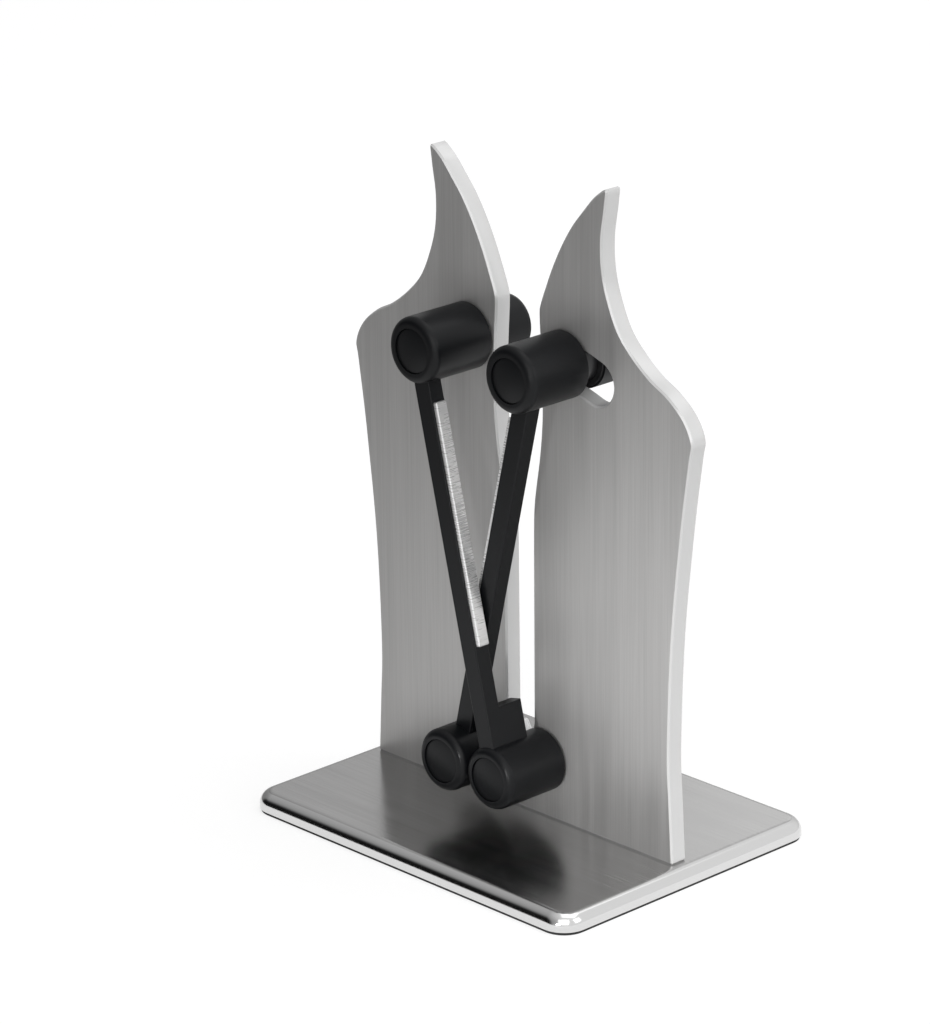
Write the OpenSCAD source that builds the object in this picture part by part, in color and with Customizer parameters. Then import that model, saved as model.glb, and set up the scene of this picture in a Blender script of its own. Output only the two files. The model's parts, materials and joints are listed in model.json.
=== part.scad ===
// Table-top knife sharpener: a horned steel frame plate on a weighted base, with two sprung arms
// that cross in front of the plate's blade slot and carry hard-metal sharpening bars.
// Each arm turns on the hub at the other side of the middle, and its head runs in an arc slot.
// Lengths are in millimetres. X runs along the plate, -Y is the front, Z is up from the table.

/* [Overall] */
// Height from the table to the tips of the horns
overall_h = 170.6; // [150:0.2:190]
// Width over the shoulders of the frame plate
shoulder_w = 116.2; // [106:0.1:126]

/* [Base] */
// Width of the base
base_w = 112.5; // [100:0.5:124]
// Depth of the base
base_d = 87; // [76:1:100]
// Radius of the base's corners
base_corner_r = 6.5; // [4:0.5:12]
// Thickness of the folded steel of the base cover
base_sheet_t = 1.2; // [0.8:0.1:1.4]
// Height of the base cover's rim
base_rim_h = 4.4; // [4:0.1:6]
// Radius of the bend along the top of the rim
base_bend_r = 3.4; // [2:0.1:3.4]
// Thickness of the non-slip pad
pad_t = 0.8; // [0.6:0.1:1.2]
// How far the pad's edge lies inside the cover's rim
pad_inset = 0.4; // [0.2:0.1:0.8]

/* [Frame plate] */
// Thickness of the frame plate
plate_t = 5; // [4:0.25:6]
// Height of the blade slot's rounded floor above the base
slot_floor_h = 19.4; // [17:0.2:22]
// Half width of the blade slot at its rounded floor
slot_floor_r = 4.6; // [4:0.1:5.4]

/* [Arms] */
// Half the distance between the two arm pivots
pivot_x = 8.4; // [8.3:0.05:9]
// Height of the arm pivots above the table
pivot_z = 20.6; // [18.6:0.2:22]
// Half the distance between the two heads at rest
head_x = 16.6; // [16:0.1:18]
// Height of the heads above the table at rest
head_z = 125; // [122:0.1:127]
// How far each arm swings out from rest, in degrees
swing = 5.4; // [4:0.1:6.5]
// Radius of the hub barrels
hub_r = 8; // [7.4:0.1:8.1]
// Radius of the head barrels
head_r = 8.4; // [8:0.1:9.4]
// Length of the barrels
barrel_len = 18.8; // [17:0.1:19]
// Rounding of the barrels' front edges
barrel_edge_r = 2; // [0.6:0.1:2.2]
// Width of an arm seen from the front
arm_w = 5.2; // [4.6:0.1:6]
// Depth of an arm from front to back
arm_d = 4.4; // [4.2:0.1:4.7]
// Rounding of the arms' long edges
arm_edge_r = 0.4; // [0.2:0.1:0.4]
// How far the front arm lies behind the barrels' front faces
lane_inset = 1.3; // [0.2:0.1:1.5]
// Room between the two arms where they cross
lane_gap = 0.3; // [0.2:0.05:0.5]
// Length of the root block above an arm's hub
root_len = 17.2; // [13:0.2:18]

/* [Sharpening bars] */
// Length of a sharpening bar
bar_len = 61; // [50:1:62]
// Distance from the pivot to a bar's lower end
bar_low = 33.2; // [29:0.2:34]
// Depth of a bar from front to back
bar_d = 3.4; // [2.8:0.1:3.4]
// How far a bar stands out of its arm
bar_proud = 1.1; // [0.8:0.1:2]
// How deep a bar sits in its groove
bar_seat = 0.8; // [0.5:0.1:1.2]

/* [Pins and springs] */
// Radius of a pivot bolt's shoulder
pivot_r = 3; // [2.6:0.1:3.2]
// Radius of a bolt's threaded end
thread_r = 2.5; // [2:0.1:2.5]
// Radius of a bolt's head
bolt_head_r = 4.6; // [4:0.1:4.8]
// Thickness of a bolt's head
bolt_head_t = 2.2; // [1.6:0.1:2.4]
// Radius of the roller that runs in an arc slot
roller_r = 5.4; // [4:0.1:5.6]
// Thickness of the glide and pivot washers
washer_t = 0.6; // [0.4:0.05:0.8]
// Outer radius of the glide washers
glide_r = 7; // [6:0.1:7.2]
// Outer radius of the pivot washers
pivot_washer_r = 4.5; // [4:0.1:4.5]
// Radius of the caps behind the plate
rear_cap_r = 7.5; // [7.2:0.1:8.5]
// Length of the caps behind the plate
rear_cap_len = 9; // [7:0.1:9.5]
// Rounding of the rear caps' edges
rear_cap_edge_r = 2; // [1:0.1:3]
// Width of a pivot nut across its flats
nut_flats = 8; // [7:0.25:8.5]
// Thickness of a pivot nut
nut_t = 4; // [3:0.1:5]
// Radius of the spring wire
wire_r = 0.5; // [0.35:0.05:0.6]
// Radius of a spring's coil to the middle of its wire
coil_r = 5.2; // [4.8:0.1:5.4]
// Distance from one turn of a spring to the next
coil_pitch = 1.6; // [1.5:0.05:1.8]
// Turns of a spring
coil_turns = 4.75; // [2.75:1:4.75]
// Radius of the frame screws
screw_r = 1.5; // [1.2:0.05:1.8]

/* [Hidden] */
$fn = 72;

// Clearances
fit_gap = 0.05;       // radial gap of a pin in its bore, and of a piece pressed or let in
run_gap = 0.2;        // flat gap between a moving face and a still one
slot_gap = 0.25;      // gap between a roller and its slot
cut = 1;              // overrun of every cut

// Heights
base_top = pad_t + base_rim_h;
plate_h = overall_h - base_top;
core_bottom = pad_t;
core_top = base_top - base_sheet_t;
core_gap = 0.2;

// Depths, from the plate's two faces outwards
plate_front = -plate_t / 2;
plate_rear = plate_t / 2;
barrel_rear = plate_front - run_gap - washer_t;
barrel_front = barrel_rear - barrel_len;
rear_cap_front = plate_rear + run_gap + washer_t;

// The arms cross, so they lie one behind the other: the left one in front, the right one behind it
front_lane = barrel_front + lane_inset;
rear_lane = front_lane + arm_d + lane_gap;
function lane(side) = side > 0 ? rear_lane : front_lane;
root_depth_share = 0.3;                                    // share of the barrel behind the root block
root_rear = barrel_rear - root_depth_share * barrel_len;

// An arm's reach from pivot to head, and its lean at rest
reach = norm([head_x + pivot_x, head_z - pivot_z]);
rest_angle = atan2(head_x + pivot_x, head_z - pivot_z);
slot_half = roller_r + slot_gap;
slot_spare = asin(slot_gap / reach);                       // spare swing past each end of the travel

// Hub and head interiors
hub_wall = 1.4;
hub_web_t = 3.6;                                           // wall that the bush is pressed in
bush_wall = 1.2;
bush_flange_t = 0.8;
bush_flange_wall = 0.8;
cap_t = 1.2;
cap_recess = 0.3;                                          // depth of a cap's face below the barrel's
cap_ledge = 0.5;                                           // ledge that a cap sits on
bolt_pocket_r = bolt_head_r + cap_ledge;
cap_r = bolt_pocket_r + cap_ledge;
cap_seat = barrel_front + cap_recess + cap_t;
bolt_seat = cap_seat + run_gap + bolt_head_t;              // underside of a bolt's head
hub_web_front = bolt_seat + run_gap;
hub_web_rear = hub_web_front + hub_web_t;

// Spring
coil_front = hub_web_rear + run_gap + wire_r + bush_flange_t;
leg_r = hub_r - hub_wall + wire_r;                         // reach of the spring's radial leg
pocket_w = 2 * (wire_r + leg_r * sin(swing) + run_gap);    // room for that leg in the hub's wall
anchor_depth = plate_t / 2;                                // depth of the spring leg in the plate
first_angle = -90;                                         // where the coil starts
last_angle = first_angle + 360 * coil_turns;
coil_end = coil_r * [cos(last_angle), sin(last_angle)];    // where the straight leg leaves it, in X and Z
coil_steps = 12;                                           // rings to a turn
wire_sides = 6;

// Frame plate's outline on the right, as shares of the half width and of the plate's height
edge_foot_share = [[0.898, 0], [0.884, 0.09], [0.873, 0.18], [0.893, 0.355], [0.945, 0.525],
    [0.989, 0.632]];
edge_shoulder_share = [[1, 0.66], [0.952, 0.692], [0.86, 0.719], [0.762, 0.737], [0.662, 0.764],
    [0.582, 0.795], [0.523, 0.84], [0.494, 0.88], [0.49, 0.925], [0.508, 0.966], [0.519, 0.994]];
edge_tip_share = [0.513, 1];
edge_mouth_share = [[0.49, 0.996], [0.437, 0.981], [0.379, 0.958], [0.317, 0.932], [0.258, 0.9],
    [0.203, 0.863], [0.158, 0.826], [0.13, 0.8], [0.124, 0.782], [0.134, 0.72], [0.139, 0.65],
    [0.134, 0.606], [0.12, 0.562], [0.101, 0.522], [0.088, 0.49], [0.083, 0.45], [0.081, 0.33], [0.08, 0.2]];
curve_steps = 5;
arc_step = 15;

// Foot screws: places as shares of the plate's half width
screw_place_share = [-0.7, -0.27, 0.27, 0.7];
screw_head_r = 2 * screw_r;
screw_head_t = 1.6;
screw_len = 10;
screw_tip = core_bottom + screw_len;

// Point at share t of a smooth curve from p1 to p2, with p0 before it and p3 after it
function spline(p0, p1, p2, p3, t) = 0.5 * (2 * p1 + (p2 - p0) * t
    + (2 * p0 - 5 * p1 + 4 * p2 - p3) * t * t + (3 * p1 - p0 - 3 * p2 + p3) * t * t * t);

// A smooth curve through all the points of a list
function curve(list) = let (last = len(list) - 1) [
    for (i = [0 : last - 1], k = [0 : curve_steps - 1])
        spline(list[max(0, i - 1)], list[i], list[i + 1], list[min(last, i + 2)], k / curve_steps),
    list[last]];

// Turns shares into places on the plate
function placed(list) = [for (p = list) [p[0] * shoulder_w / 2, base_top + p[1] * plate_h]];

right_edge = concat(
    curve(placed(concat(edge_foot_share, edge_shoulder_share))),
    placed([edge_tip_share]),
    curve(placed(edge_mouth_share)),
    [for (a = [0 : -arc_step : -90 + arc_step])
        [slot_floor_r * cos(a), base_top + slot_floor_h + slot_floor_r * (1 + sin(a))]]);
slot_floor = [[0, base_top + slot_floor_h]];
left_edge = [for (i = [len(right_edge) - 1 : -1 : 0]) [-right_edge[i][0], right_edge[i][1]]];

// Draws its children on the right as they are, or mirrored to the left
module on_side(side) {
    if (side > 0) children();
    else mirror([1, 0, 0]) children();
}

// A round bar along Y
module bar_y(r, y0, y1) {
    translate([0, y0, 0]) rotate([-90, 0, 0]) cylinder(r = r, h = y1 - y0);
}

// A front view drawn in X and Z, given its depth along Y
module slab_y(y0, y1) {
    translate([0, y1, 0]) rotate([90, 0, 0]) linear_extrude(y1 - y0) children();
}

// A barrel along Y that starts at y0 and has its edge rounded at that end
module barrel(r, y0, y1, edge) {
    translate([0, y0, 0]) rotate([-90, 0, 0]) rotate_extrude() union() {
        square([r - edge, y1 - y0]);
        translate([0, edge]) square([r, y1 - y0 - edge]);
        translate([r - edge, edge]) circle(edge);
    }
}

// A ring along Y
module ring_y(r, bore, y0, y1) {
    difference() {
        bar_y(r, y0, y1);
        bar_y(bore, y0 - cut, y1 + cut);
    }
}

// The pivot of the arm whose head is on the right
module at_pivot() {
    translate([-pivot_x, 0, pivot_z]) children();
}

module at_head() {
    translate([head_x, 0, head_z]) children();
}

// Z runs from the pivot to the head
module along_arm() {
    at_pivot() rotate([0, rest_angle, 0]) children();
}

// A box along an arm, from x0 to x1 across it, y0 to y1 in depth and z0 to z1 along it
module arm_box(x0, x1, y0, y1, z0, z1) {
    along_arm() translate([x0, y0, z0]) cube([x1 - x0, y1 - y0, z1 - z0]);
}

// The same with round long edges, from z = 0
module arm_beam(x0, x1, y0, y1, z1) {
    along_arm() translate([(x0 + x1) / 2, (y0 + y1) / 2, 0])
        rounded_slab(x1 - x0, y1 - y0, arm_edge_r, 0, z1);
}

// A flat plate with round corners
module rounded_slab(w, d, r, z0, z1) {
    translate([0, 0, z0]) linear_extrude(z1 - z0) {
        square([w - 2 * r, d], center = true);
        square([w, d - 2 * r], center = true);
        for (sx = [-1, 1], sy = [-1, 1])
            translate([sx * (w / 2 - r), sy * (d / 2 - r)]) circle(r);
    }
}

// The base's outline drawn in by inset, from z0 to z1, with the bend along its top edge
module bent_slab(inset, z0, z1) {
    r = base_corner_r - inset;
    bend = base_bend_r - inset;
    hull() for (sx = [-1, 1], sy = [-1, 1])
        translate([sx * (base_w / 2 - base_corner_r), sy * (base_d / 2 - base_corner_r), z0])
            rotate_extrude($fn = 48) polygon(concat([[0, z1 - z0], [0, 0], [r, 0]],
                [for (a = [0 : arc_step : 90]) [r - bend + bend * cos(a), z1 - z0 - bend + bend * sin(a)]]));
}

// The places of the four frame screws
module at_screws() {
    for (share = screw_place_share) translate([share * shoulder_w / 2, 0, 0]) children();
}

// Folded steel cover with a bend along its top edge
module base_cover() {
    color([0.66, 0.66, 0.67]) difference() {
        bent_slab(0, pad_t, base_top);
        bent_slab(base_sheet_t, pad_t - cut, core_top);
        at_screws() cylinder(r = screw_r + fit_gap, h = overall_h);
    }
}

// Steel core that weights the base and takes the screw heads
module base_core() {
    inset = base_sheet_t + core_gap;
    color([0.4, 0.4, 0.42]) difference() {
        bent_slab(inset, core_bottom, core_top);
        at_screws() {
            cylinder(r = screw_r + fit_gap, h = overall_h);
            translate([0, 0, core_bottom - cut])
                cylinder(r = screw_head_r + fit_gap, h = screw_head_t + cut);
        }
    }
}

// Rubber pad that the sharpener stands on
module base_pad() {
    color([0.07, 0.07, 0.07])
        rounded_slab(base_w - 2 * pad_inset, base_d - 2 * pad_inset, base_corner_r - pad_inset, 0, pad_t);
}

// Arc slot that guides a head
module arc_slot() {
    at_pivot() {
        rotate([90, rest_angle + swing + slot_spare - 90, 0]) rotate_extrude(angle = swing + 2 * slot_spare)
            translate([reach - slot_half, -plate_t]) square([2 * slot_half, 2 * plate_t]);
        for (a = [-slot_spare, swing + slot_spare]) rotate([0, rest_angle + a, 0])
            translate([0, 0, reach]) bar_y(slot_half, -plate_t, plate_t);
    }
}

// Horned plate with the blade slot, the two arc slots and the pivot holes
module frame_plate() {
    color([0.72, 0.72, 0.73]) difference() {
        slab_y(plate_front, plate_rear) polygon(concat(right_edge, slot_floor, left_edge));
        for (side = [-1, 1]) on_side(side) {
            arc_slot();
            at_pivot() {
                bar_y(thread_r + fit_gap, -plate_t, plate_t);
                translate([coil_end[0], 0, coil_end[1]])
                    bar_y(wire_r + fit_gap, plate_front - cut, plate_front + anchor_depth);
            }
        }
        at_screws() cylinder(r = screw_r, h = screw_tip + fit_gap);
    }
}

// Four screws that hold the plate on the base
module frame_screws() {
    color([0.75, 0.75, 0.76]) at_screws() {
        translate([0, 0, core_bottom + fit_gap]) cylinder(r = screw_head_r, h = screw_head_t - fit_gap);
        translate([0, 0, core_bottom + screw_head_t]) cylinder(r = screw_r - fit_gap,
            h = screw_tip - core_bottom - screw_head_t);
    }
}

// One arm with its hub and head barrels in one moulding
module arm(side) {
    low = lane(side);
    bar_y0 = low + (arm_d - bar_d) / 2;
    color([0.09, 0.09, 0.1]) on_side(side) difference() {
        union() {
            arm_beam(-arm_w / 2, arm_w / 2, low, low + arm_d, reach);
            arm_beam(-arm_w / 2, arm_w / 4, low + arm_d / 2, root_rear, root_len);
            at_pivot() barrel(hub_r, barrel_front, barrel_rear, barrel_edge_r);
            at_head() barrel(head_r, barrel_front, barrel_rear, barrel_edge_r);
        }
        arm_box(-arm_w, bar_seat - arm_w / 2 + fit_gap, bar_y0 - fit_gap, bar_y0 + bar_d + fit_gap,
            bar_low - fit_gap, bar_low + bar_len + fit_gap);
        at_pivot() {
            bar_y(cap_r + fit_gap, barrel_front - cut, cap_seat);
            bar_y(bolt_pocket_r, barrel_front - cut, hub_web_front);
            bar_y(pivot_r + bush_wall, hub_web_front - cut, hub_web_rear + cut);
            bar_y(hub_r - hub_wall, hub_web_rear, barrel_rear + cut);
            translate([-pocket_w / 2, hub_web_rear, -leg_r - run_gap])
                cube([pocket_w, coil_front - hub_web_rear + wire_r + run_gap, leg_r]);
        }
        at_head() {
            bar_y(cap_r + fit_gap, barrel_front - cut, cap_seat);
            bar_y(bolt_pocket_r, barrel_front - cut, bolt_seat);
            bar_y(pivot_r + fit_gap, barrel_front, barrel_rear + cut);
        }
    }
}

// Hard-metal bar let into the upper side of an arm
module sharpening_bar(side) {
    y0 = lane(side) + (arm_d - bar_d) / 2;
    color([0.85, 0.85, 0.86]) on_side(side)
        arm_box(-arm_w / 2 - bar_proud, bar_seat - arm_w / 2, y0, y0 + bar_d, bar_low, bar_low + bar_len);
}

// Flanged bush that turns on the pivot bolt
module hub_bush(side) {
    color([0.72, 0.55, 0.3]) on_side(side) at_pivot() difference() {
        union() {
            bar_y(pivot_r + bush_wall, hub_web_front, hub_web_rear);
            bar_y(pivot_r + bush_wall + bush_flange_wall, hub_web_rear, hub_web_rear + bush_flange_t);
        }
        bar_y(pivot_r + fit_gap, hub_web_front - cut, hub_web_rear + bush_flange_t + cut);
    }
}

// Cover over a bolt head at the front of a barrel
module barrel_cap() {
    color([0.11, 0.11, 0.12]) bar_y(cap_r, barrel_front + cap_recess, cap_seat);
}

// Shoulder bolt that an arm turns on
module pivot_bolt(side) {
    color([0.78, 0.78, 0.8]) on_side(side) at_pivot() {
        bar_y(bolt_head_r, bolt_seat - bolt_head_t, bolt_seat);
        bar_y(pivot_r, bolt_seat, plate_front);
        bar_y(thread_r, plate_front, plate_rear + nut_t + wire_r);
    }
}

// Washer between a hub and the plate
module pivot_washer(side) {
    color([0.8, 0.8, 0.82]) on_side(side) at_pivot()
        ring_y(pivot_washer_r, pivot_r + fit_gap, plate_front - washer_t, plate_front);
}

// Six-sided nut behind the plate
module pivot_nut(side) {
    color([0.78, 0.78, 0.8]) on_side(side) at_pivot() difference() {
        translate([0, plate_rear, 0]) rotate([-90, 0, 0])
            cylinder(r = nut_flats / 2 / cos(30), h = nut_t, $fn = 6);
        bar_y(thread_r + fit_gap, 0, plate_rear + nut_t + cut);
    }
}

// The middle line of a spring: a leg in the hub, the coil, and a leg into the plate
coil_path = concat(
    [[0, coil_front, -leg_r]],
    [for (i = [0 : coil_turns * coil_steps]) let (a = first_angle + 360 * i / coil_steps)
        [coil_r * cos(a), coil_front + coil_pitch * i / coil_steps, coil_r * sin(a)]],
    [[coil_end[0], plate_front + anchor_depth - run_gap, coil_end[1]]]);

// Least gap between one turn of the wire and the next
echo(spring_gap = min([for (i = [1 : coil_steps * (floor(coil_turns) - 1)])
    for (k = [coil_steps - 1 : coil_steps + 1]) norm(coil_path[i + k] - coil_path[i])]) - 2 * wire_r);

// A tube of the wire's size along the spring's middle line
module wire(path) {
    last = len(path) - 1;
    function way(i) = let (d = path[min(i + 1, last)] - path[max(i - 1, 0)]) d / norm(d);
    // Outward from the pivot, which is never along the wire but in the first leg
    function out(i) = i == 0 ? [0, -1, 0] : [path[i][0], 0, path[i][2]] / norm([path[i][0], 0, path[i][2]]);
    rings = [for (i = [0 : last])
        let (t = way(i), v = cross(out(i), t) / norm(cross(out(i), t)), u = cross(t, v))
        for (k = [0 : wire_sides - 1])
            path[i] + wire_r * (cos(360 * k / wire_sides) * u + sin(360 * k / wire_sides) * v)];
    polyhedron(rings, concat(
        [[for (k = [wire_sides - 1 : -1 : 0]) k]],
        [for (i = [0 : last - 1], k = [0 : wire_sides - 1]) let (n = (k + 1) % wire_sides, b = i * wire_sides)
            for (f = [[b + k, b + n, b + wire_sides + n], [b + k, b + wire_sides + n, b + wire_sides + k]]) f],
        [[for (k = [0 : wire_sides - 1]) last * wire_sides + k]]));
}

// Spring that turns an arm back to the middle
module torsion_spring(side) {
    color([0.7, 0.7, 0.72]) on_side(side) at_pivot() wire(coil_path);
}

// Bolt through a head, its roller and the rear cap
module head_bolt(side) {
    color([0.78, 0.78, 0.8]) on_side(side) at_head() {
        bar_y(bolt_head_r, bolt_seat - bolt_head_t, bolt_seat);
        bar_y(thread_r, bolt_seat, rear_cap_front + rear_cap_len / 2);
        bar_y(pivot_r, bolt_seat, barrel_rear);
    }
}

// Sleeve that rolls in the arc slot
module slot_roller(side) {
    color([0.13, 0.13, 0.14]) on_side(side) at_head()
        ring_y(roller_r, thread_r + fit_gap, barrel_rear, rear_cap_front);
}

// Slippery washer between a head or a rear cap and the plate
module glide(side, y0) {
    color([0.13, 0.13, 0.14]) on_side(side) at_head()
        ring_y(glide_r, roller_r + fit_gap, y0, y0 + washer_t);
}

// Round cap behind the plate, screwed on the head bolt
module rear_cap(side) {
    color([0.09, 0.09, 0.1]) on_side(side) at_head() difference() {
        mirror([0, 1, 0])
            barrel(rear_cap_r, -rear_cap_front - rear_cap_len, -rear_cap_front, rear_cap_edge_r);
        bar_y(thread_r + fit_gap, 0, rear_cap_front + rear_cap_len / 2 + fit_gap);
    }
}

// Hub pieces are named for the side they lie on, where the arm of the other side turns
base_cover();
base_core();
base_pad();
frame_plate();
frame_screws();
arm(-1);  // left_arm
arm(1);  // right_arm
sharpening_bar(-1);  // left_sharpening_bar
sharpening_bar(1);  // right_sharpening_bar
hub_bush(1);  // left_hub_bush
hub_bush(-1);  // right_hub_bush
on_side(1) at_pivot() barrel_cap();  // left_hub_cap
on_side(-1) at_pivot() barrel_cap();  // right_hub_cap
pivot_bolt(1);  // left_pivot_bolt
pivot_bolt(-1);  // right_pivot_bolt
pivot_washer(1);  // left_pivot_washer
pivot_washer(-1);  // right_pivot_washer
pivot_nut(1);  // left_pivot_nut
pivot_nut(-1);  // right_pivot_nut
torsion_spring(1);  // left_torsion_spring
torsion_spring(-1);  // right_torsion_spring
on_side(-1) at_head() barrel_cap();  // left_head_cap
on_side(1) at_head() barrel_cap();  // right_head_cap
head_bolt(-1);  // left_head_bolt
head_bolt(1);  // right_head_bolt
slot_roller(-1);  // left_slot_roller
slot_roller(1);  // right_slot_roller
glide(-1, barrel_rear);  // left_front_glide
glide(1, barrel_rear);  // right_front_glide
glide(-1, rear_cap_front - washer_t);  // left_rear_glide
glide(1, rear_cap_front - washer_t);  // right_rear_glide
rear_cap(-1);  // left_rear_cap
rear_cap(1);  // right_rear_cap
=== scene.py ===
# Table-top knife sharpener: a horned steel plate on a weighted base, and two sprung arms that cross
# Lengths in metres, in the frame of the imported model: X along the plate, -Y the front, Z up
import json
import math

import bmesh
import bpy
from mathutils import Matrix, Vector


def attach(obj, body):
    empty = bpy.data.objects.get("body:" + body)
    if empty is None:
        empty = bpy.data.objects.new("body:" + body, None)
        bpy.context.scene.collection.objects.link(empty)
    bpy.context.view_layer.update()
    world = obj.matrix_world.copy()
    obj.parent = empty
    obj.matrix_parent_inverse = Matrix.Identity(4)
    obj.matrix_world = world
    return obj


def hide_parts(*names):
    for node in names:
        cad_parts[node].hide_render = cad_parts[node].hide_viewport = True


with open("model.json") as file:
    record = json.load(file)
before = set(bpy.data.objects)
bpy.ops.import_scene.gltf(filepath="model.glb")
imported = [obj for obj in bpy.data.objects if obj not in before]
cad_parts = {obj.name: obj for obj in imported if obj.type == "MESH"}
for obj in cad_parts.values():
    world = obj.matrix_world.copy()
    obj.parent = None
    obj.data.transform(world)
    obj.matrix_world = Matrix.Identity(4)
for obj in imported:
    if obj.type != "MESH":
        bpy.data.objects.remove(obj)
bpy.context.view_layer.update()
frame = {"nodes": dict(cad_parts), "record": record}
nodes = frame["nodes"]
bodyOf = {node: body for body, members in frame["record"]["behaviour"]["bodies"].items() for node in members}
slotOf = {part["node"]: part["material_slot"] for part in frame["record"]["subparts"]}
print("frame loaded:", len(nodes), "nodes")


# ---- finishes

class Wire:  # a shader socket that can be added, multiplied and so on
    def __init__(self, maker, socket):
        self.maker = maker
        self.socket = socket

    def math(self, operation, first, second):
        return self.maker.add("ShaderNodeMath", {"operation": operation}, {0: first, 1: second})

    def __add__(self, other):
        return self.math("ADD", self, other)

    def __sub__(self, other):
        return self.math("SUBTRACT", self, other)

    def __rsub__(self, other):
        return self.math("SUBTRACT", other, self)

    def __mul__(self, other):
        return self.math("MULTIPLY", self, other)

    def __gt__(self, other):
        return self.math("GREATER_THAN", self, other)

    def __abs__(self):
        return self.math("ABSOLUTE", self, 0.0)

    __radd__ = __add__
    __rmul__ = __mul__


class NodeTree:  # a material's or the sky's nodes, and the one way they are made
    def __init__(self, owner, shader, constants):
        owner.use_nodes = True
        self.tree = owner.node_tree
        self.shader = self.tree.nodes[shader]
        for socket, value in constants.items():
            self.shader.inputs[socket.replace("_", " ")].default_value = value

    def add(self, kind, settings, inputs, output=0):
        node = self.tree.nodes.new(kind)
        for key, value in settings.items():
            if key == "stops":  # a new ramp is black at its first stop and white at its second
                for stop, place in zip(node.color_ramp.elements, value):
                    stop.position = place
            else:
                setattr(node, key, value)
        for key, value in inputs.items():
            if isinstance(value, Wire):
                self.tree.links.new(value.socket, node.inputs[key])
            else:
                node.inputs[key].default_value = value
        return Wire(self, node.outputs[output])

    def feed(self, socket, wire):
        self.tree.links.new(wire.socket, self.shader.inputs[socket])

    def along(self, place, way):
        return self.add("ShaderNodeVectorMath", {"operation": "DOT_PRODUCT"}, {0: place, 1: way}, "Value")

    def ease(self, wire, start, end, first, last):  # from first to last as the wire goes from start to end
        return self.add("ShaderNodeMapRange", {"interpolation_type": "SMOOTHSTEP"},
                        {0: wire, 1: start, 2: end, 3: first, 4: last})


class Finish(NodeTree):  # a material
    def __init__(self, name, **constants):
        self.material = bpy.data.materials.new(name)
        super().__init__(self.material, "Principled BSDF", constants)

    def place(self, stretch):
        spot = self.add("ShaderNodeTexCoord", {}, {}, "Object")
        return self.add("ShaderNodeMapping", {}, {"Vector": spot, "Scale": stretch})

    def noise(self, waves, detail=2.0, roughness=0.5):  # waves to a metre, all ways or along each axis
        place = self.place(waves if isinstance(waves, (list, tuple)) else (waves,) * 3)
        return self.add("ShaderNodeTexNoise", {},
                        {"Vector": place, "Scale": 1.0, "Detail": detail, "Roughness": roughness})

    def ramp(self, wire, stops):
        return self.add("ShaderNodeValToRGB", {"stops": stops}, {0: wire})

    def blend(self, share, first, second):
        return self.add("ShaderNodeMix", {"data_type": "RGBA"}, {0: share, 6: first, 7: second}, 2)

    def facing(self, axis):
        normal = self.add("ShaderNodeTexCoord", {}, {}, "Normal")
        return abs(self.add("ShaderNodeSeparateXYZ", {}, {0: normal}, axis))

    def bump(self, height, look):
        self.feed("Normal", self.add("ShaderNodeBump", {}, {"Height": height, "Strength": look["bump"],
                                                            "Distance": look["bumpDepth"]}))


def swing(wire, width):  # a noise from 0 to 1 becomes a change that is width wide, either side of nothing
    return (wire - 0.5) * width


def grey(level, warmth=0.0):
    return (level * (1 + warmth), level, level * (1 - warmth), 1)


plateLook = {
    "dark": grey(0.44, 0.01),
    "light": grey(0.54, 0.01),
    "edge": grey(0.66, 0.002),
    "faceMetallic": 0.72,
    "edgeMetallic": 0.35,
    "anisotropic": 0.75,  # the brushing spreads what the plate mirrors
    "faceRoughness": 0.42,
    "edgeRoughness": 0.26,
    "streakAcross": 2300,  # waves to a metre across the brush marks
    "streakAlong": 26,
    "bandAcross": 170,
    "bandAlong": 9,
    "bandShare": 0.35,
    "streakStops": (0.3, 0.7),
    "smudge": 28,
    "streakRough": 0.1,  # how much the marks, the smudges and the edge's noise change the roughness
    "smudgeRough": 0.12,
    "edgeRough": 0.04,
    "faceCosine": 0.95,  # what faces its axis this squarely is brushed, and the rest is edge
    "bump": 0.16,
    "bumpDepth": 0.00002,
}
baseLook = dict(
    plateLook,
    dark=grey(0.46, 0.006),
    light=grey(0.58, 0.006),
    edge=grey(0.69, 0.002),
    faceMetallic=1.0,
    edgeMetallic=1.0,
    anisotropic=0,
    faceRoughness=0.16,
    edgeRoughness=0.14,
)


def brushedSteel(name, look, brushAxis, faceAxis):
    steel = Finish(name, Anisotropic=look["anisotropic"])

    def brushed(kind, **settings):
        along, across = look[kind + "Along"], look[kind + "Across"]
        return steel.noise([along if axis == brushAxis else across for axis in "XYZ"], **settings)

    fine = brushed("streak", detail=3.0, roughness=0.6)
    band = brushed("band")
    smudge = steel.noise(look["smudge"], detail=3.0)
    streak = steel.ramp(fine * (1 - look["bandShare"]) + band * look["bandShare"], look["streakStops"])
    isFace = steel.facing(faceAxis) > look["faceCosine"]
    face = steel.blend(streak, look["dark"], look["light"])
    steel.feed("Base Color", steel.blend(isFace, look["edge"], face))
    steel.feed("Metallic", isFace * (look["faceMetallic"] - look["edgeMetallic"]) + look["edgeMetallic"])
    faceRough = look["faceRoughness"] + streak * look["streakRough"] + swing(smudge, look["smudgeRough"])
    edgeRough = look["edgeRoughness"] + swing(fine, look["edgeRough"])
    steel.feed("Roughness", isFace * (faceRough - edgeRough) + edgeRough)
    steel.bump(fine * isFace, look)
    return steel.material


plasticLook = {
    "low": (0.004, 0.0043, 0.005, 1),
    "high": (0.008, 0.0086, 0.01, 1),
    "specular": 0.2,
    "roughness": 0.34,
    "cloud": 90,
    "cloudRough": 0.16,
    "grain": 3200,  # waves to a metre in the moulded grain
    "grainRough": 0.08,
    "bump": 0.25,
    "bumpDepth": 0.00003,
}


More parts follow.
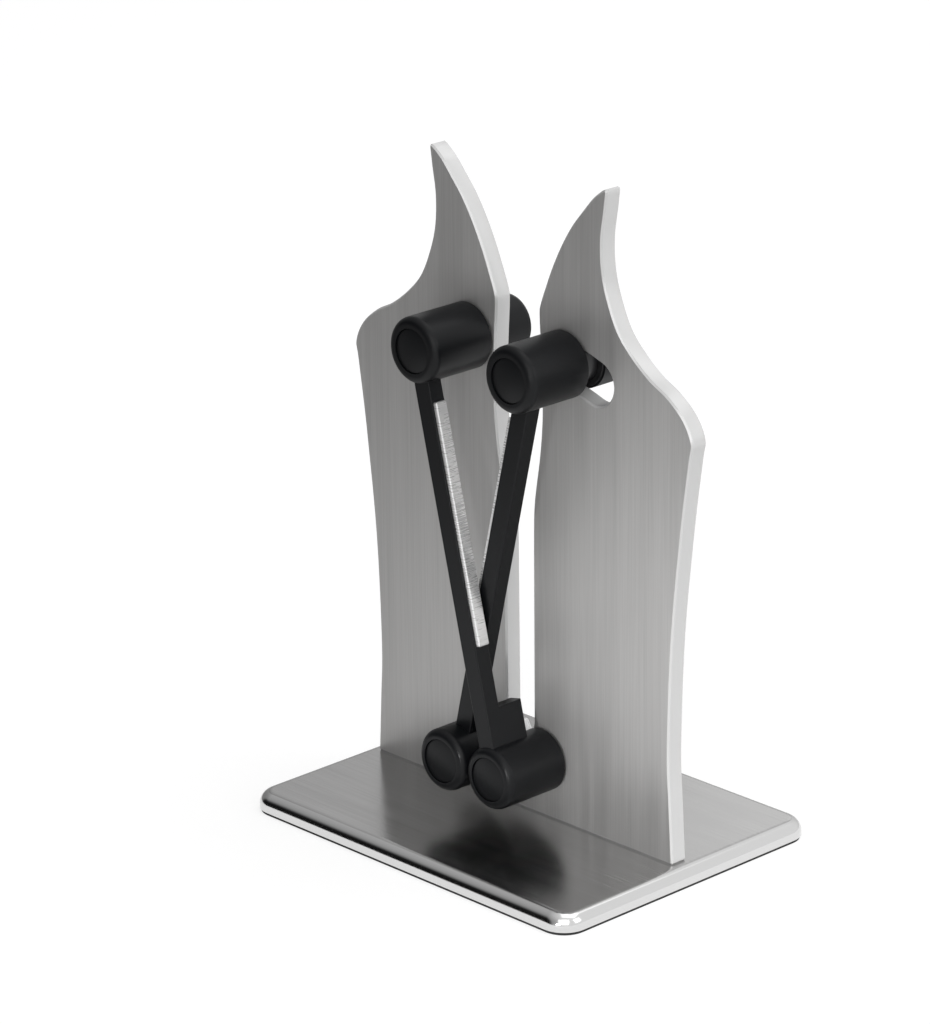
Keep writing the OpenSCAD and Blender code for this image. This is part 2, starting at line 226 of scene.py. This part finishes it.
def mouldedPlastic():
    look = plasticLook
    plastic = Finish("mouldedPlastic", Specular_IOR_Level=look["specular"])
    grain = plastic.noise(look["grain"])
    cloud = plastic.noise(look["cloud"], detail=3.0)
    plastic.feed("Base Color", plastic.blend(grain * 0.5 + cloud * 0.5, look["low"], look["high"]))
    rough = swing(cloud, look["cloudRough"]) + swing(grain, look["grainRough"])
    plastic.feed("Roughness", rough + look["roughness"])
    plastic.bump(grain, look)
    return plastic.material


groundLook = {
    "dark": grey(0.64, 0.002),
    "light": grey(0.8, 0.002),
    "metallic": 0.6,
    "roughness": 0.28,
    "gritAlong": 5200,  # grinding marks run across the bar
    "gritAcross": 160,
    "gritStops": (0.2, 0.8),
    "gritRough": 0.14,
    "tint": 60,
    "tintRough": 0.1,
    "bump": 0.3,
    "bumpDepth": 0.00001,
}


def groundMetal():
    look = groundLook
    metal = Finish("groundMetal", Metallic=look["metallic"])
    grit = metal.noise((look["gritAcross"], look["gritAcross"], look["gritAlong"]), roughness=0.7)
    tint = metal.noise(look["tint"])
    metal.feed("Base Color", metal.blend(metal.ramp(grit, look["gritStops"]), look["dark"], look["light"]))
    rough = swing(grit, look["gritRough"]) + swing(tint, look["tintRough"])
    metal.feed("Roughness", rough + look["roughness"])
    metal.bump(grit, look)
    return metal.material


turnedLook = {
    "steel": {"dark": grey(0.5), "light": grey(0.72), "roughness": 0.28},
    "brass": {"dark": (0.5, 0.36, 0.14, 1), "light": (0.72, 0.55, 0.26, 1), "roughness": 0.3},
    "core": {"dark": grey(0.1), "light": grey(0.17), "roughness": 0.55},
    "marksAlong": 5200,  # tool marks to a metre along a turned piece
    "marksAcross": 300,
    "marksRough": 0.1,
    "cloud": 220,
    "cloudRough": 0.2,
    "bump": 0.2,
    "bumpDepth": 0.00001,
}


def turnedMetal(name, tone):
    look = dict(turnedLook, **turnedLook[tone])
    metal = Finish(name, Metallic=1.0)
    marks = metal.noise((look["marksAcross"], look["marksAlong"], look["marksAcross"]))
    cloud = metal.noise(look["cloud"], detail=3.0)
    metal.feed("Base Color", metal.blend(marks * 0.5 + cloud * 0.5, look["dark"], look["light"]))
    rough = swing(cloud, look["cloudRough"]) + swing(marks, look["marksRough"])
    metal.feed("Roughness", rough + look["roughness"])
    metal.bump(marks, look)
    return metal.material


softLook = {
    "rubber": {
        "low": grey(0.012),
        "high": grey(0.024),
        "roughness": 0.8,
        "grain": 2600,
        "bump": 0.4,
    },
    "glide": {
        "low": (0.012, 0.012, 0.013, 1),
        "high": (0.022, 0.022, 0.024, 1),
        "roughness": 0.34,
        "grain": 1500,
        "bump": 0.12,
    },
    "cloud": 120,
    "cloudRough": 0.15,
    "bumpDepth": 0.00003,
}


def plainPlastic(name, tone):
    look = dict(softLook, **softLook[tone])
    plastic = Finish(name)
    grain = plastic.noise(look["grain"])
    cloud = plastic.noise(look["cloud"], detail=3.0)
    plastic.feed("Base Color", plastic.blend(grain * 0.5 + cloud * 0.5, look["low"], look["high"]))
    plastic.feed("Roughness", look["roughness"] + swing(cloud, look["cloudRough"]))
    plastic.bump(grain, look)
    return plastic.material


plateSteel = brushedSteel("plateSteel", plateLook, "Z", "Y")
baseSteel = brushedSteel("baseSteel", baseLook, "X", "Z")
finishOf = {
    "black_plastic": mouldedPlastic(),
    "hard_metal": groundMetal(),
    "bright_steel": turnedMetal("turnedSteel", "steel"),
    "bush_brass": turnedMetal("turnedBrass", "brass"),
    "dark_steel": turnedMetal("coreSteel", "core"),
    "pad_rubber": plainPlastic("padRubber", "rubber"),
    "glide_plastic": plainPlastic("glidePlastic", "glide"),
}


def materialFor(node):
    if node == "frame_plate":
        return plateSteel
    if node == "base_cover":
        return baseSteel
    return finishOf[slotOf[node]]


for name, node in nodes.items():
    node.data.materials.clear()
    node.data.materials.append(materialFor(name))
print("finishes made:", len(bpy.data.materials))


# ---- pieces with broken edges

edgeBreaks = {  # width of the broken edge, steps across it
    "frame_plate": (0.00045, 1),
    "base_cover": (0, 1),  # its edge is a bend
    "sharpening_bar": (0.00025, 1),
    "hub_cap": (0.0003, 2),
    "head_cap": (0.0003, 2),
    "pivot_nut": (0.0004, 1),
}
meshLimits = {
    "weld": 2e-6,  # points nearer than this become one
    "flat": math.radians(0.5),  # faces that meet within this angle become one
    "sharp": math.radians(30),  # edges over this angle are broken, and stay sharp in the shading
}


def weldedCopy(node):
    mesh = bmesh.new()
    mesh.from_mesh(nodes[node].data)
    bmesh.ops.remove_doubles(mesh, verts=mesh.verts, dist=meshLimits["weld"])
    bmesh.ops.dissolve_limit(mesh, angle_limit=meshLimits["flat"], verts=mesh.verts, edges=mesh.edges)
    return mesh


def breakEdges(mesh, width, steps):
    sharp = [edge for edge in mesh.edges
             if len(edge.link_faces) == 2 and edge.calc_face_angle() > meshLimits["sharp"]]
    bmesh.ops.bevel(mesh, geom=sharp, offset=width, offset_type="OFFSET", segments=steps, profile=0.5,
                    affect="EDGES", clamp_overlap=False, material=-1)


def finishPiece(mesh, node, pieceName):
    for face in mesh.faces:
        face.smooth = True
    for edge in mesh.edges:
        edge.smooth = len(edge.link_faces) == 2 and edge.calc_face_angle() < meshLimits["sharp"]
    data = bpy.data.meshes.new(pieceName)
    mesh.to_mesh(data)
    mesh.free()
    piece = bpy.data.objects.new(pieceName, data)
    bpy.context.scene.collection.objects.link(piece)
    data.materials.append(materialFor(node))
    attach(piece, bodyOf[node])
    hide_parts(node)
    return piece


bentSheet = {
    "corner": 0.0065,  # radius of the cover's upright corners
    "bend": 0.0034,  # radius of the bend along its top edge
    "outside": 0.7,  # least cosine between the true normal and a face of the cover's outside
}


def roundNormals(data):  # the bent cover's true normals, which its facets only come near
    reach = Vector([max(vertex.co[axis] for vertex in data.vertices) for axis in range(3)])
    start = bentSheet["corner"] - bentSheet["bend"]  # how far from a corner's axis the bend begins
    normals = []
    for face in data.polygons:
        for index in face.vertices:
            spot = data.vertices[index].co
            out = Vector([math.copysign(max(abs(spot[axis]) - reach[axis] + bentSheet["corner"], 0), spot[axis])
                          for axis in range(2)] + [0])
            lean = max(out.length - start, 0) / bentSheet["bend"]
            rise = max(spot.z - reach.z + bentSheet["bend"], 0) / bentSheet["bend"]
            normal = (out.normalized() * lean + Vector((0, 0, rise))).normalized()
            normals.append(normal if normal.dot(face.normal) > bentSheet["outside"] else Vector())
    data.normals_split_custom_set(normals)


for part, (width, steps) in edgeBreaks.items():
    for node in [name for name in nodes if name in (part, "left_" + part, "right_" + part)]:
        mesh = weldedCopy(node)
        if width:
            breakEdges(mesh, width, steps)
        words = node.split("_")
        piece = finishPiece(mesh, node, words[0] + "".join(word.capitalize() for word in words[1:]) + "Edged")
        if part == "base_cover":
            roundNormals(piece.data)
print("edges broken on:", ", ".join(edgeBreaks))


# ---- floor, lights and camera

stageLook = {
    "middle": (0, 0, 0.08),  # where the soft boxes point
    "floorWidth": 12.0,
    "floorTone": 0.3,
    "floorRoughness": 0.9,
    "floorSpecular": 0.1,
    "floorGlow": 0.74,  # seen by the camera and in the metal, so the ground reads white
    "glowFades": [  # ways in which metal sees the glow fade out, and the metres where it starts and ends
        ((-0.7, -0.7, 0), 0.25, 0.35),
        ((-0.87, 0.5, 0), 0.02, 0.12),
    ],
    "skyBright": 0.92,  # light from the right
    "skyDim": 0.4,  # and from the left
    "brightWay": (0.8, 0.3, 0.52),
    "skySpread": 0.75,  # the light changes over this nearness to the bright way, either side of nothing
    "darkWay": (-0.7071, -0.7071, 0),  # where the room is dark close above the ground
    "darks": [  # nearness to that way where it starts and is full, sines of height where it thins, share
        (0.0, 0.4, 0.4, 1.1, 0.4),
        (0.74, 0.92, 0.35, 0.8, 0.97),
    ],
}


def makeFloor():
    look = stageLook
    mesh = bmesh.new()
    bmesh.ops.create_grid(mesh, x_segments=1, y_segments=1, size=look["floorWidth"] / 2)
    data = bpy.data.meshes.new("floor")
    mesh.to_mesh(data)
    mesh.free()
    floor = bpy.data.objects.new("floor", data)
    bpy.context.scene.collection.objects.link(floor)
    ground = Finish("floorPaper", Base_Color=grey(look["floorTone"]), Roughness=look["floorRoughness"],
                    Specular_IOR_Level=look["floorSpecular"], Emission_Strength=look["floorGlow"])
    spot = ground.add("ShaderNodeTexCoord", {}, {}, "Object")
    glow = ground.add("ShaderNodeLightPath", {}, {}, "Is Glossy Ray")
    for way, start, end in look["glowFades"]:
        glow = glow * ground.ease(ground.along(spot, way), start, end, 1.0, 0.0)
    seen = ground.add("ShaderNodeLightPath", {}, {}, "Is Camera Ray")
    ground.feed("Emission Color", ground.blend(seen.math("MAXIMUM", seen, glow), grey(0.0), grey(1.0)))
    data.materials.append(ground.material)


def makeSky():
    look = stageLook
    world = bpy.data.worlds.new("studio")
    bpy.context.scene.world = world
    sky = NodeTree(world, "Background", {"Color": grey(1.0)})
    way = sky.add("ShaderNodeTexCoord", {}, {}, "Generated")
    level = sky.ease(sky.along(way, look["brightWay"]), -look["skySpread"], look["skySpread"],
                     look["skyDim"], look["skyBright"])
    toDark = sky.along(way, look["darkWay"])
    height = sky.add("ShaderNodeSeparateXYZ", {}, {0: way}, "Z")
    for near, nearest, low, high, share in look["darks"]:
        dark = sky.ease(toDark, near, nearest, 0.0, share) * sky.ease(height, low, high, 1.0, 0.0)
        level = level * (1 - dark)
    sky.feed("Strength", level)
    white = sky.add("ShaderNodeBackground", {}, {"Color": grey(1.0)})  # what the camera sees
    seen = sky.add("ShaderNodeLightPath", {}, {}, "Is Camera Ray")
    mix = sky.add("ShaderNodeMixShader", {}, {0: seen, 1: Wire(sky, sky.shader.outputs[0]), 2: white})
    sky.tree.links.new(mix.socket, sky.tree.nodes["World Output"].inputs[0])


lamps = {  # soft boxes aimed at the middle of the part, and one spot on the plate's lower right
    "overheadBox": {"place": (0.3, 0.3, 1.6), "size": 1.4, "power": 4.4},
    "rightBox": {"place": (1.6, 0.5, 0.9), "size": 1.0, "power": 3.4},
    "backBox": {"place": (-0.6, 0.9, 0.5), "size": 0.35, "power": 0.14},
    "frontBox": {"place": (0.7, -0.75, 0.6), "size": 0.9, "power": 3.0},
    "frontSpot": {"place": (0.25, -0.6, 0.12), "aim": (0.06, 0, 0.036), "cone": 18, "size": 0.05, "power": 8.5},
}


def makeLamp(name, lamp):
    isSpot = "cone" in lamp
    data = bpy.data.lights.new(name, "SPOT" if isSpot else "AREA")
    if isSpot:
        data.spot_size = math.radians(lamp["cone"])
        data.spot_blend = 1.0
        data.shadow_soft_size = lamp["size"]
    else:
        data.shape = "SQUARE"
        data.size = lamp["size"]
    data.energy = lamp["power"]
    light = bpy.data.objects.new(name, data)
    bpy.context.scene.collection.objects.link(light)
    light.location = lamp["place"]
    way = Vector(lamp.get("aim", stageLook["middle"])) - Vector(lamp["place"])
    light.rotation_euler = way.to_track_quat("-Z", "Y").to_euler()


viewpoint = {  # the photograph's, angles in degrees
    "azimuth": 45.59,
    "elevation": 19.75,
    "roll": -0.41,
    "distance": 1.15557,
    "target": (0, 0, 0.0806),
    "aimRight": -0.012948,  # how far the picture's middle lies off the target, at a distance of 1
    "aimUp": 0.001531,
    "lens": 166.04,  # this and the sensor in millimetres
    "sensor": 36,
    "clip": (0.01, 50),
}


def makeCamera():
    azimuth, elevation, roll = [math.radians(viewpoint[key]) for key in ("azimuth", "elevation", "roll")]
    level = math.cos(elevation)
    ahead = Vector((-math.sin(azimuth) * level, math.cos(azimuth) * level, -math.sin(elevation)))
    right = Vector((math.cos(azimuth), math.sin(azimuth), 0))
    up = right.cross(ahead)
    right, up = right * math.cos(roll) + up * math.sin(roll), up * math.cos(roll) - right * math.sin(roll)
    aim = (ahead + right * viewpoint["aimRight"] + up * viewpoint["aimUp"]).normalized()
    right = (right - aim * right.dot(aim)).normalized()
    up = right.cross(aim)
    data = bpy.data.cameras.new("camera")
    data.lens = viewpoint["lens"]
    data.sensor_width = viewpoint["sensor"]
    data.clip_start, data.clip_end = viewpoint["clip"]
    camera = bpy.data.objects.new("camera", data)
    bpy.context.scene.collection.objects.link(camera)
    turn = Matrix((right, up, -aim)).transposed().to_4x4()
    camera.matrix_world = Matrix.Translation(Vector(viewpoint["target"]) - ahead * viewpoint["distance"]) @ turn
    bpy.context.scene.camera = camera


makeFloor()
makeSky()
for name, lamp in lamps.items():
    makeLamp(name, lamp)
makeCamera()
bpy.context.scene.view_settings.view_transform = "Standard"
print("floor, lights and camera placed")

bpy.context.view_layer.update()
